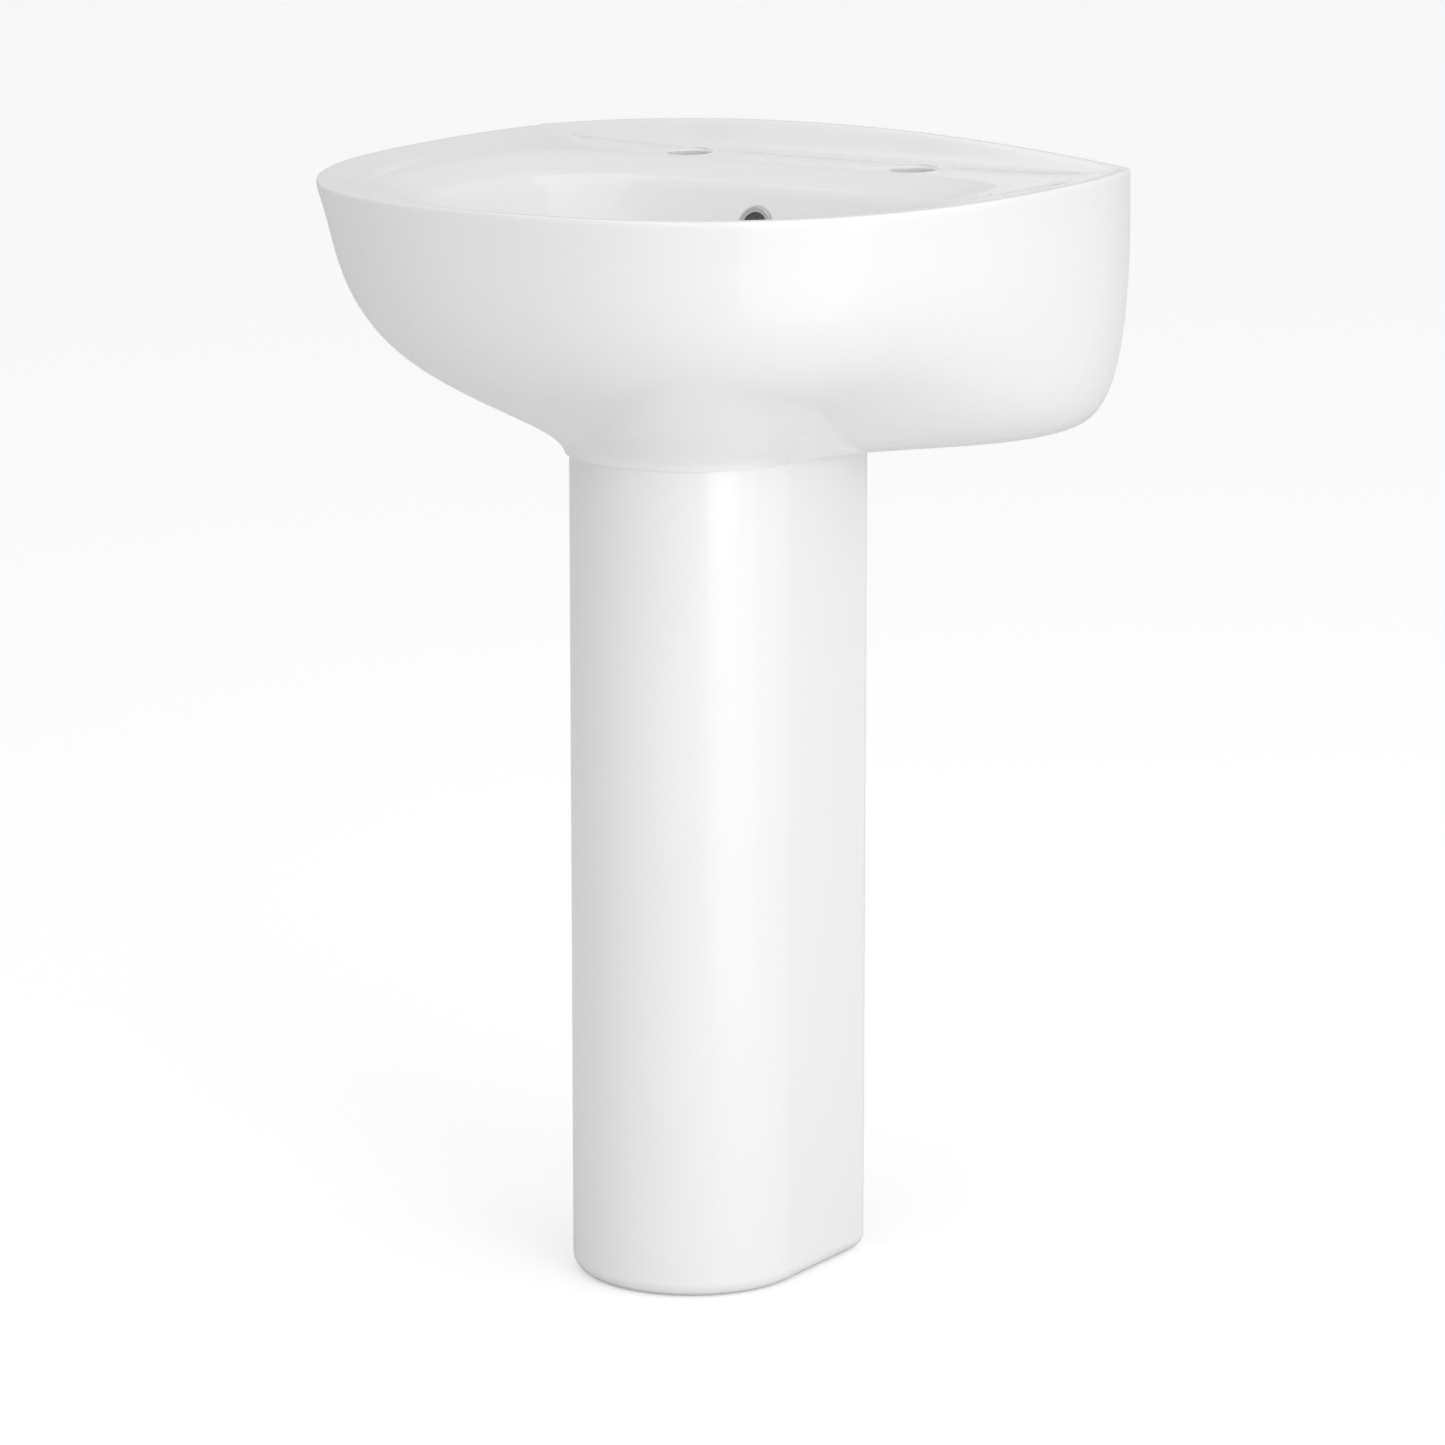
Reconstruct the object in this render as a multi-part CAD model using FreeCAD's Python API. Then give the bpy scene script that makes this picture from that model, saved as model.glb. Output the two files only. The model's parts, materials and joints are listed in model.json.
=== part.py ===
import FreeCAD, Part
import math
import os
from FreeCAD import Vector

# Pedestal wash basin of white china with its overflow trim, slotted waste and bottle trap.
# Millimetres. +X is the basin's right seen from the front, +Y points to the wall, +Z is up.
# The origin is on the floor, under the middle of the basin's width and depth.

# ---- driving dimensions ----------------------------------------------------------------
BASIN_WIDTH = 550.0
BASIN_DEPTH = 460.0
RIM_HEIGHT = 840.0          # floor to the flat of the rim
UPSTAND_RISE = 17.0         # the back edge's highest point above the rim
PEDESTAL_HEIGHT = 632.0     # floor to the seam under the basin
PEDESTAL_WIDTH = 182.0
PEDESTAL_DEPTH = 200.0
PEDESTAL_SET_BACK = 176.0   # from the basin's front to the pedestal's front
CHINA_WALL = 11.0
TAP_PITCH = 200.0
TAP_HOLE = 35.0
TAP_FROM_WALL = 42.0
WIDEST_FROM_WALL = 114.0    # the wall to where the basin is widest
WASTE_FROM_WALL = 215.0
BOWL_WIDTH = 374.0
BOWL_DEPTH_BELOW_RIM = 147.0
WALL_FIXING_PITCH = 280.0
WALL_FIXING_HOLE = 14.0
WALL_FIXING_DROP = 72.0     # below the rim
FLOOR_FIXING_PITCH = 124.0
FLOOR_FIXING_HOLE = 8.0
WASTE_THREAD = 41.9         # outside of the 1 1/4 inch waste's thread
WASTE_BORE = 33.0
WASTE_FLANGE = 63.0
BOSS_HEIGHT = 48.0          # china between the waste's seat and its backnut
OVERFLOW_HOLE = 22.0
OVERFLOW_DROP = 50.0        # rim to the middle of the overflow
PLUG_TRAVEL = 8.0           # how far the pressed plug rises when it opens
PIPE = 32.0                 # outside of the waste pipe that the trap takes
TRAP_BODY = 62.0            # outside of the bottle
TRAP_OUTLET_HEIGHT = 545.0

# ---- clearances ------------------------------------------------------------------------
PART_GAP = 0.3              # between curved faces of separate pieces
RUNNING_GAP = 0.05          # radial, plunger in its guide
PIPE_GAP = 0.2              # radial, waste pipe in the trap's outlet

# ---- places worked out from them -------------------------------------------------------
FRONT = -BASIN_DEPTH / 2
WALL = BASIN_DEPTH / 2
SEAM = PEDESTAL_HEIGHT
PEDESTAL_FRONT = FRONT + PEDESTAL_SET_BACK
PEDESTAL_BACK = PEDESTAL_FRONT + PEDESTAL_DEPTH
PEDESTAL_RADIUS = PEDESTAL_WIDTH / 2
PEDESTAL_ARC_Y = PEDESTAL_FRONT + PEDESTAL_RADIUS
TAP_Y = WALL - TAP_FROM_WALL
WASTE_Y = WALL - WASTE_FROM_WALL
WIDEST_Y = WALL - WIDEST_FROM_WALL
SEAT = RIM_HEIGHT - BOWL_DEPTH_BELOW_RIM
BOSS_BOTTOM = SEAT - BOSS_HEIGHT
OVERFLOW_Z = RIM_HEIGHT - OVERFLOW_DROP


# ---- small helpers ---------------------------------------------------------------------
def disc(radius, low, high, x=0.0, y=WASTE_Y):
    return Part.makeCylinder(radius, high - low, Vector(x, y, low))


def tube(outer, inner, low, high, x=0.0, y=WASTE_Y):
    return disc(outer, low, high, x, y).cut(disc(inner, low - 1, high + 1, x, y))


def block(x0, x1, y0, y1, z0, z1):
    return Part.makeBox(x1 - x0, y1 - y0, z1 - z0, Vector(x0, y0, z0))


def hexagon(across_flats, low, high, y=WASTE_Y):
    corner = across_flats / math.sqrt(3)
    turns = [math.radians(60 * k) for k in range(7)]
    points = [Vector(corner * math.cos(turn), y + corner * math.sin(turn), low) for turn in turns]
    return Part.Face(Part.makePolygon(points)).extrude(Vector(0, 0, high - low))


def rod_to_wall(radius, x, z, front, back):
    """A cylinder that runs along +Y."""
    return Part.makeCylinder(radius, back - front, Vector(x, front, z), Vector(0, 1, 0))


def turned(profile, x=0.0, y=WASTE_Y):
    """A solid turned about a vertical axis from (radius, height) points."""
    points = [Vector(x + r, y, z) for r, z in profile]
    face = Part.Face(Part.makePolygon(points + [points[0]]))
    return face.revolve(Vector(x, y, 0), Vector(0, 0, 1), 360)


def save(shape, node):
    solid = shape.removeSplitter()
    if not solid.isValid():
        solid.fix(0.01, 0.01, 0.01)
    print(node, "valid" if solid.isValid() else "INVALID", len(solid.Solids), round(solid.Volume / 1000, 2))
    solid.exportStep("parts/" + node + ".step")
    return solid


# ---- outlines seen from above ----------------------------------------------------------
AROUND = 48                 # control points around an outline
POLE_STAND_OFF = 3 / (2 + math.cos(2 * math.pi / AROUND))   # they stand this much outside the curve


class Outline:
    """A rounded outline: half width, reach to the front and back of its centre, and how square it is."""

    def __init__(self, half_width, front, back, centre_y, front_power, back_power):
        self.half_width = half_width
        self.front = front
        self.back = back
        self.centre_y = centre_y
        self.front_power = front_power
        self.back_power = back_power

    def at(self, angle, height=0.0):
        across = abs(math.cos(angle))
        along = abs(math.sin(angle))
        rear = math.sin(angle) > 0
        depth = self.back if rear else self.front
        power = self.back_power if rear else self.front_power
        reach = ((across / self.half_width) ** power + (along / depth) ** power) ** (-1 / power)
        reach *= POLE_STAND_OFF
        return Vector(reach * math.cos(angle), self.centre_y + reach * math.sin(angle), height)

    def grown(self, by):
        return Outline(self.half_width + by, self.front + by, self.back + by, self.centre_y,
                       self.front_power, self.back_power)


RIM_BACK_REACH = 281.0      # the rim's outline runs on past the wall, which cuts it off straight
SEAT_MARGIN = 2.0           # the basin's underside stands this much outside the pedestal
SEAT_BACK_REACH = 110.0
RIM_OUTLINE = Outline(BASIN_WIDTH / 2, WIDEST_Y - FRONT, RIM_BACK_REACH, WIDEST_Y, 2.5, 2.5)
SEAT_OUTLINE = Outline(PEDESTAL_RADIUS + SEAT_MARGIN, PEDESTAL_RADIUS + SEAT_MARGIN, SEAT_BACK_REACH,
                       PEDESTAL_ARC_Y, 2.1, 5.0)

# The skin from the seam up to the rim, as (share of the way from the pedestal to the rim's outline,
# share of the height). The front and sides sweep up like a bowl. Next to the wall the section is a box
# with rounded lower corners.
FRONT_SECTION = [(0.0, 0.0), (0.01, 0.033), (0.10, 0.10), (0.375, 0.21), (0.72, 0.385),
                 (0.90, 0.62), (0.955, 0.85), (1.0, 0.975), (1.0, 1.0), (0.985, 1.0), (0.95, 1.0)]
WALL_SECTION = [(0.0, 0.0), (0.10, 0.0), (0.35, 0.0), (0.69, 0.0), (0.92, 0.068),
                (0.995, 0.355), (1.01, 0.70), (1.0, 0.975), (1.0, 1.0), (0.985, 1.0), (0.95, 1.0)]
SWEEP_ENDS = math.radians(-35)      # forward of this angle the section is the front one
BOX_BEGINS = math.radians(36)       # behind this angle it is the wall one


def smooth_step(t):
    t = min(1.0, max(0.0, t))
    return t * t * (3 - 2 * t)


def angle_from_side(angle):
    """The angle above or below the nearer side, so that left and right are alike."""
    return math.asin(max(-1.0, min(1.0, math.sin(angle))))


def closed_surface(rows):
    """A smooth surface through rings of control points, closed around and clamped at both ends."""
    count = len(rows)
    inner_knots = count - 3
    surface = Part.BSplineSurface()
    surface.buildFromPolesMultsKnots(
        rows, [4] + [1] * (inner_knots - 1) + [4], [1] * (AROUND + 1),
        list(range(inner_knots + 1)), list(range(AROUND + 1)), False, True, 3, 3)
    return surface.toShape()


def capped(rows):
    """A closed solid from a surface whose first and last rings are level."""
    skin = closed_surface(rows)
    rims = [edge for edge in skin.Edges if edge.isClosed() and not edge.isSeam(skin)]
    caps = [Part.Face(Part.Wire(edge)) for edge in rims]
    shell = Part.Shell([skin] + caps)
    shell.sewShape()
    solid = Part.Solid(shell)
    if solid.Volume < 0:
        solid.reverse()
    return solid


def ring_angles(seam):
    """Even steps around, from the angle where the surface's seam lies."""
    return [seam + 2 * math.pi * k / AROUND for k in range(AROUND)]


def skin_solid(inset):
    """The basin's outside, filled in, with its wall moved inward by the inset."""
    rim = RIM_OUTLINE.grown(-inset)
    seat = SEAT_OUTLINE.grown(-inset)
    low = SEAM + inset
    rise = RIM_HEIGHT - low
    rows = []
    for front_pole, wall_pole in zip(FRONT_SECTION, WALL_SECTION):
        row = []
        for angle in ring_angles(math.pi / 2):
            side = angle_from_side(angle)
            boxy = smooth_step((side - SWEEP_ENDS) / (BOX_BEGINS - SWEEP_ENDS))
            out = front_pole[0] + boxy * (wall_pole[0] - front_pole[0])
            up = front_pole[1] + boxy * (wall_pole[1] - front_pole[1])
            inner = seat.at(angle)
            outer = rim.at(angle)
            point = inner + (outer - inner) * out
            point.z = low + rise * up
            row.append(point)
        rows.append(row)
    return capped(rows)


# ---- the top: rim band, tap ledge, dish and bowl ----------------------------------------
class Ring:
    """A level ring of the bowl: its outline and its height."""

    def __init__(self, outline, height):
        self.outline = outline
        self.height = height


def bowl_rings():
    edge = BOWL_WIDTH / 2
    middle = WASTE_Y + 5
    return [
        Ring(RIM_OUTLINE.grown(120), RIM_HEIGHT + 15),
        Ring(RIM_OUTLINE.grown(30), RIM_HEIGHT + 4.2),
        Ring(RIM_OUTLINE.grown(4), RIM_HEIGHT + 1.2),
        Ring(RIM_OUTLINE.grown(-8), RIM_HEIGHT - 0.2),
        Ring(RIM_OUTLINE.grown(-30), RIM_HEIGHT - 4),
        Ring(Outline(edge + 42, 214, 154, middle, 2.2, 4.5), RIM_HEIGHT - 7),
        Ring(Outline(edge + 35, 208, 146, middle, 2.2, 5.0), RIM_HEIGHT - 8),
        Ring(Outline(edge + 29, 202, 140, middle, 2.2, 5.0), RIM_HEIGHT - 9),
        Ring(Outline(edge + 14, 194, 126, middle, 2.25, 4.6), RIM_HEIGHT - 15),
        Ring(Outline(edge + 3, 186, 117, middle, 2.3, 4.2), RIM_HEIGHT - 19),
        Ring(Outline(edge - 2, 180, 113, middle, 2.3, 4.0), RIM_HEIGHT - 23),
        Ring(Outline(edge - 9, 172, 109, middle, 2.25, 3.4), RIM_HEIGHT - 40),
        Ring(Outline(edge - 28, 150, 98, middle, 2.2, 2.7), RIM_HEIGHT - 75),
        Ring(Outline(edge - 62, 115, 80, middle, 2.1, 2.2), SEAT + 35),
        Ring(Outline(edge - 110, 68, 54, WASTE_Y, 2.0, 2.0), SEAT + 13),
        Ring(Outline(42, 42, 40, WASTE_Y, 2.0, 2.0), SEAT + 6),
        Ring(Outline(20, 20, 20, WASTE_Y, 2.0, 2.0), SEAT + 4.5),
    ]


def bowl_solid(grow):
    """Everything above the dish and inside the bowl, pushed into the china by grow."""
    rings = bowl_rings()
    rows = []
    for k, ring in enumerate(rings):
        before = rings[max(k - 1, 0)]
        after = rings[min(k + 1, len(rings) - 1)]
        run = before.outline.half_width - after.outline.half_width
        fall = before.height - after.height
        slope = math.hypot(run, fall)
        outward = grow * fall / slope
        downward = grow * run / slope
        rows.append([ring_point(ring, angle, outward, downward) for angle in ring_angles(-math.pi / 2)])
    return capped(rows)


def ring_point(ring, angle, outward, downward):
    return ring.outline.grown(outward).at(angle, ring.height - downward)


UPSTAND_DEPTH = 34.0        # from the wall to where it runs out on the deck
UPSTAND_END = 12.0          # from its end to the widest part of the basin
UPSTAND_SINK = 12.0         # how far it reaches into the china under the deck
PAST_WALL = 20.0            # it is made this much too deep, and cut off at the wall


def upstand():
    """The ridge along the wall, highest in the middle and gone at the corners."""
    half = BASIN_WIDTH / 2 - UPSTAND_END
    foot = RIM_HEIGHT - UPSTAND_SINK
    edge = WALL - UPSTAND_DEPTH
    behind = WALL + PAST_WALL
    steps = 12
    sections = []
    for k in range(2 * steps + 1):
        x = half * (k - steps) / steps
        crest = RIM_HEIGHT + UPSTAND_RISE * (1 - (x / half) ** 2)
        rise = crest - (RIM_HEIGHT - 7)
        points = [Vector(x, WALL - 2, crest), Vector(x, WALL - 6, crest - 0.4),
                  Vector(x, WALL - 9, crest - 0.25 * rise), Vector(x, WALL - 14, crest - 0.66 * rise),
                  Vector(x, WALL - 22, crest - 0.93 * rise), Vector(x, edge, RIM_HEIGHT - 8.5)]
        curve = Part.BSplineCurve()
        curve.interpolate(points)
        front = Part.makeLine(points[-1], Vector(x, edge, foot))
        base = Part.makeLine(Vector(x, edge, foot), Vector(x, behind, foot))
        back = Part.makeLine(Vector(x, behind, foot), Vector(x, behind, crest))
        top = Part.makeLine(Vector(x, behind, crest), points[0])
        sections.append(Part.Wire([curve.toShape(), front, base, back, top]))
    return Part.makeLoft(sections, True, False)


# ---- the basin ---------------------------------------------------------------------------
BACK_WALL = 14.0
POCKET_INNER = PEDESTAL_RADIUS + 15     # side of an underside pocket next to the pedestal
POCKET_OUTER = BASIN_WIDTH / 2 - 93
POCKET_FRONT = PEDESTAL_ARC_Y + 65
WEB_HEIGHT = 50.0
PIPE_NOTCH = 60.0                       # half width of the gap in the back wall for the pipes
PIPE_NOTCH_TOP = SEAM + 78
RECESS = WASTE_FLANGE / 2 + 2.5         # radius of the seat for the waste's flange
WASTE_HOLE = WASTE_THREAD / 2 + 1.6
BOSS = WASTE_THREAD / 2 + 21.05         # radius of the china around the waste hole
SLOT_LOW = BOSS_BOTTOM + 13
SLOT_HIGH = SLOT_LOW + 20
OVERFLOW_SPIGOT = OVERFLOW_HOLE / 2 + 0.2
OVERFLOW_SEAT = OVERFLOW_HOLE / 2 + 4.5 # radius of the flat that the overflow's trim sits in
OVERFLOW_FLANGE = OVERFLOW_HOLE / 2 + 3.5
OVERFLOW_FLANGE_THICK = 2.4
OVERFLOW_RING_WALL = 0.9
OVERFLOW_SINK = 0.4                     # how deep the trim's flange sits under the bowl's surface
GLAZE = 2.0                             # rounding of the tap holes' edges
FIXING_PAD = 22.0                       # radius of the thicker china around a wall fixing
FIXING_PAD_RISE = 6.0                   # how far it stands in front of the back wall
FIXING_Z = RIM_HEIGHT - WALL_FIXING_DROP
DUCT = 12.0                             # the overflow passage, front to back
DUCT_HALF_WIDTH = 16.0
DUCT_SKIN = 9.0                         # china around the passage


def edge_of(solid, start, end):
    """Where a line leaves a solid."""
    inside = solid.common(Part.makeLine(start, end))
    return max(inside.Vertexes, key=lambda v: v.Point.distanceToPoint(start)).Point


def bowl_wall_y(bowl, height):
    return edge_of(bowl, Vector(0, WASTE_Y, height), Vector(0, WALL, height)).y


def deck_height(bowl, x, y):
    return edge_of(bowl, Vector(x, y, RIM_HEIGHT + 50), Vector(x, y, SEAM)).z


def overflow_frame(bowl):
    """The point on the bowl's back wall at the middle of the overflow, and the tilt of the wall there."""
    span = 10.0
    low = bowl_wall_y(bowl, OVERFLOW_Z - span)
    high = bowl_wall_y(bowl, OVERFLOW_Z + span)
    return (low + high) / 2, math.degrees(math.atan2(high - low, 2 * span))


def duct(points, half_width):
    """A passage of one section from side to side, from (y, height) points."""
    corners = [Vector(-half_width, y, z) for y, z in points]
    return Part.Face(Part.makePolygon(corners + [corners[0]])).extrude(Vector(2 * half_width, 0, 0))


def overflow_duct(bowl, wall, depth, half_width, low_cut):
    """Follows the outside of the bowl from behind the overflow hole down to the boss."""
    near, far = [], []
    top = OVERFLOW_Z + 16 + low_cut
    for height in (top, OVERFLOW_Z - 10, OVERFLOW_Z - 35, OVERFLOW_Z - 60, OVERFLOW_Z - 82):
        y = bowl_wall_y(bowl, height)
        near.append((y + wall, height - 0.3 * wall))
        far.append((y + wall + depth, height - 0.3 * wall - 0.4 * depth))
    near.append((WASTE_Y + 15, SLOT_HIGH - 1 + low_cut))
    far.append((WASTE_Y + 15, SLOT_LOW + 4 - low_cut))
    return duct(near + far[::-1], half_width)


def tap_cutter(x, height):
    """A tap hole with the soft edge that glaze leaves."""
    r = TAP_HOLE / 2
    bend = GLAZE * (1 - math.sqrt(0.5))
    points = [Vector(x, TAP_Y, height - 60), Vector(x + r, TAP_Y, height - 60),
              Vector(x + r, TAP_Y, height - GLAZE), Vector(x + r + GLAZE, TAP_Y, height),
              Vector(x + r + GLAZE, TAP_Y, height + 8), Vector(x, TAP_Y, height + 8)]
    lip = Part.Arc(points[2], Vector(x + r + bend, TAP_Y, height - bend), points[3]).toShape()
    lines = [Part.makeLine(points[k], points[(k + 1) % 6]) for k in (0, 1)]
    lines += [lip] + [Part.makeLine(points[k], points[(k + 1) % 6]) for k in (3, 4, 5)]
    face = Part.Face(Part.Wire(lines))
    return face.revolve(Vector(x, TAP_Y, 0), Vector(0, 0, 1), 360)


def pocket_mouth(side):
    """The opening under the basin that a hand reaches a tap's nut and a wall fixing through."""
    near = side * POCKET_INNER
    far = side * POCKET_OUTER
    back = WALL - BACK_WALL - 11
    plan = [Vector(near, POCKET_FRONT, SEAM - 5), Vector(near, back, SEAM - 5), Vector(far, back, SEAM - 5),
            Vector(far - side * 4, back - 33, SEAM - 5), Vector(far - side * 42, POCKET_FRONT + 18, SEAM - 5)]
    mouth = Part.Face(Part.makePolygon(plan + [plan[0]])).extrude(Vector(0, 0, CHINA_WALL + 6))
    upright = [e for e in mouth.Edges if e.BoundBox.ZLength > CHINA_WALL]
    return mouth.makeFillet(8, upright)


def pedestal_plan(inset, low, high):
    """The pedestal's D-shaped plan, moved inward by the inset."""
    r = PEDESTAL_RADIUS - inset
    back = PEDESTAL_BACK - inset
    corner = max(9.0 - inset, 0.0)
    front = Part.Arc(Vector(r, PEDESTAL_ARC_Y, low), Vector(0, PEDESTAL_ARC_Y - r, low),
                     Vector(-r, PEDESTAL_ARC_Y, low)).toShape()
    if corner > 0:
        bend = corner * (1 - math.sqrt(0.5))
        left = Part.Arc(Vector(-r, back - corner, low), Vector(-r + bend, back - bend, low),
                        Vector(-r + corner, back, low)).toShape()
        right = Part.Arc(Vector(r - corner, back, low), Vector(r - bend, back - bend, low),
                         Vector(r, back - corner, low)).toShape()
        edges = [front, Part.makeLine(Vector(-r, PEDESTAL_ARC_Y, low), Vector(-r, back - corner, low)), left,
                 Part.makeLine(Vector(-r + corner, back, low), Vector(r - corner, back, low)), right,
                 Part.makeLine(Vector(r, back - corner, low), Vector(r, PEDESTAL_ARC_Y, low))]
    else:
        edges = [front, Part.makeLine(Vector(-r, PEDESTAL_ARC_Y, low), Vector(-r, back, low)),
                 Part.makeLine(Vector(-r, back, low), Vector(r, back, low)),
                 Part.makeLine(Vector(r, back, low), Vector(r, PEDESTAL_ARC_Y, low))]
    return Part.Face(Part.Wire(edges)).extrude(Vector(0, 0, high - low))


def basin(bowl):
    room = block(-BASIN_WIDTH, BASIN_WIDTH, FRONT - 100, WALL, SEAM - 100, RIM_HEIGHT + 200)
    body = skin_solid(0.0).cut(bowl).common(room)
    body = body.fuse(upstand().common(room))

    hollow = skin_solid(CHINA_WALL).cut(bowl_solid(CHINA_WALL))
    hollow = hollow.common(block(-BASIN_WIDTH, BASIN_WIDTH, FRONT, WALL - BACK_WALL, SEAM, RIM_HEIGHT))
    web_inner = PEDESTAL_RADIUS - CHINA_WALL
    pad_front = WALL - BACK_WALL - FIXING_PAD_RISE
    for side in (-1, 1):
        faces = sorted((side * web_inner, side * (web_inner + CHINA_WALL)))
        hollow = hollow.cut(block(faces[0], faces[1], PEDESTAL_ARC_Y, WALL, SEAM, SEAM + WEB_HEIGHT))
        hollow = hollow.cut(rod_to_wall(FIXING_PAD, side * WALL_FIXING_PITCH / 2, FIXING_Z, pad_front, WALL))
    boss = disc(BOSS, BOSS_BOTTOM, SEAT + 5)
    hollow = hollow.cut(boss)
    hollow = hollow.cut(overflow_duct(bowl, 2.0, DUCT + 17.0, DUCT_HALF_WIDTH + DUCT_SKIN, DUCT_SKIN - 1))
    body = body.cut(hollow)

    body = body.cut(overflow_duct(bowl, CHINA_WALL, DUCT, DUCT_HALF_WIDTH, 0.0))
    wall_y, tilt = overflow_frame(bowl)
    hole = disc(OVERFLOW_SPIGOT, -4, CHINA_WALL + 10, 0, 0)
    seat = disc(OVERFLOW_SEAT, OVERFLOW_SINK - 10, OVERFLOW_SINK, 0, 0)
    body = body.cut(on_bowl_wall(hole.fuse(seat), wall_y, tilt))

    body = body.cut(disc(RECESS, SEAT, SEAT + 30)).cut(disc(WASTE_HOLE, BOSS_BOTTOM - 5, SEAT + 5))
    body = body.cut(disc(WASTE_HOLE + 5, SLOT_LOW - 2, SLOT_HIGH + 2))
    for side in (-1, 1):
        tap_x = side * TAP_PITCH / 2
        body = body.cut(tap_cutter(tap_x, deck_height(bowl, tap_x, TAP_Y)))
        body = body.cut(pocket_mouth(side))
        fixing_x = side * WALL_FIXING_PITCH / 2
        body = body.cut(rod_to_wall(WALL_FIXING_HOLE / 2, fixing_x, FIXING_Z, pad_front - 2, WALL + 4))
    mouth = pedestal_plan(CHINA_WALL, SEAM - 5, SEAM + CHINA_WALL + 1.5)
    body = body.cut(mouth.cut(boss))
    notch = block(-PIPE_NOTCH, PIPE_NOTCH, PEDESTAL_BACK - 30, WALL + 5, SEAM - 5, SEAM + CHINA_WALL + 1)
    spring_line = PIPE_NOTCH_TOP - PIPE_NOTCH
    inside = WALL - BACK_WALL - 5
    arch = block(-PIPE_NOTCH, PIPE_NOTCH, inside, WALL + 5, SEAM - 5, spring_line)
    crown = rod_to_wall(PIPE_NOTCH, 0, spring_line, inside, WALL + 5)
    return body.cut(notch).cut(arch.fuse(crown))


def on_bowl_wall(shape, wall_y, tilt):
    """Places a shape made about +Z on the bowl's back wall, with +Z going into the china."""
    placed = shape.copy()
    placed.rotate(Vector(0, 0, 0), Vector(1, 0, 0), -90 - tilt)
    placed.translate(Vector(0, wall_y, OVERFLOW_Z))
    return placed


def overflow_ring(bowl):
    wall_y, tilt = overflow_frame(bowl)
    face = OVERFLOW_SINK - OVERFLOW_FLANGE_THICK
    flange = disc(OVERFLOW_FLANGE, face, OVERFLOW_SINK, 0, 0)
    outer = [e for e in flange.Edges if e.BoundBox.ZMax < face + 0.1 and e.BoundBox.XLength > 1]
    flange = flange.makeFillet(1.8, outer)
    spigot = disc(OVERFLOW_HOLE / 2, OVERFLOW_SINK, OVERFLOW_SINK + 8.4, 0, 0)
    bore = disc(OVERFLOW_HOLE / 2 - OVERFLOW_RING_WALL, -6, 14, 0, 0)
    ring = flange.fuse(spigot).cut(bore)
    mouth = [e for e in ring.Edges if e.BoundBox.ZMax < face + 0.1 and e.BoundBox.XLength > 1]
    ring = ring.makeFillet(0.5, mouth)
    return on_bowl_wall(ring, wall_y, tilt)


# ---- the pedestal -------------------------------------------------------------------------
FOOT_ROUNDING = 12.5
FOOT_WALL = 23.0
FOOT_HEIGHT = 30.0
BACK_LIP = 14.0             # the open back's edges turn in this far past the walls
TIE_BARS = ((60.0, 100.0), (SEAM - 40.0, SEAM - 10.0))
LUG_FROM_BACK = 45.0        # the back to a floor fixing
LUG_HALF = 16.0             # half a fixing lug's length
LUG_HEIGHT = 16.0
LUG_EDGE = 12.0             # from the hole to the lug's inner edge


def pedestal():
    shape = pedestal_plan(0.0, 0.0, SEAM)
    foot = [e for e in shape.Edges if e.BoundBox.ZMax < 0.001]
    shape = shape.makeFillet(FOOT_ROUNDING, foot)
    rim = [e for e in shape.Edges if e.BoundBox.ZMin > SEAM - 0.001]
    shape = shape.makeFillet(1.2, rim)
    shape = shape.cut(pedestal_plan(CHINA_WALL, FOOT_HEIGHT, SEAM + 5))
    shape = shape.cut(pedestal_plan(FOOT_WALL, -5, FOOT_HEIGHT + 5))
    gap = PEDESTAL_RADIUS - CHINA_WALL - BACK_LIP
    lug_y = PEDESTAL_BACK - LUG_FROM_BACK
    shape = shape.cut(block(-gap, gap, PEDESTAL_BACK - FOOT_WALL - 5, PEDESTAL_BACK + 5, -5, SEAM + 5))
    for low, high in TIE_BARS:
        shape = shape.fuse(block(-gap - 2, gap + 2, PEDESTAL_BACK - CHINA_WALL, PEDESTAL_BACK, low, high))
    for side in (-1, 1):
        x = side * FLOOR_FIXING_PITCH / 2
        inner, outer = sorted((x - side * LUG_EDGE, side * (PEDESTAL_RADIUS - FOOT_WALL + 2)))
        shape = shape.fuse(block(inner, outer, lug_y - LUG_HALF, lug_y + LUG_HALF, 0, LUG_HEIGHT))
        shape = shape.cut(disc(FLOOR_FIXING_HOLE / 2, -5, FOOT_HEIGHT + 5, x, lug_y))
    return shape


# ---- the waste ----------------------------------------------------------------------------
FLANGE_SEAL = 1.5
FLANGE = 3.0
FLANGE_TOP = SEAT + FLANGE_SEAL + FLANGE
TAIL_END = BOSS_BOTTOM - 33
BRIDGE_TOP = SEAT - 24
GUIDE_FLOOR = BRIDGE_TOP + 3
PLUNGER_END = GUIDE_FLOOR + 4
PLUG_SEAL = 2.0
CAP_BASE = FLANGE_TOP + PLUG_SEAL
PLUNGER = 4.3               # radius
WASHER = 5.0
SLIP_WASHER = 1.5
PLUNGER_GRIP = 6.0          # plunger left in its guide when the plug is up
GUIDE_TOP = PLUNGER_END + PLUG_TRAVEL + PLUNGER_GRIP
BACKNUT = 9.0
BACKNUT_FLATS = WASTE_THREAD + 14.1
WASHER_RADIUS = WASTE_THREAD / 2 + 10.05
CAP_RISE = 5.5
STEM_FLANGE = 2.5
STEM_PIN = 3.0              # radius of the pin that the cap is pressed on
HOUSING = 7.0               # radius of the cartridge that holds the plunger
HOUSING_TAIL = 3.5          # radius of its end, which goes through the bridge
BRIDGE_DEPTH = 5.0
BRIDGE_HALF = 3.0           # half the thickness of the bar across the waste
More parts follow.
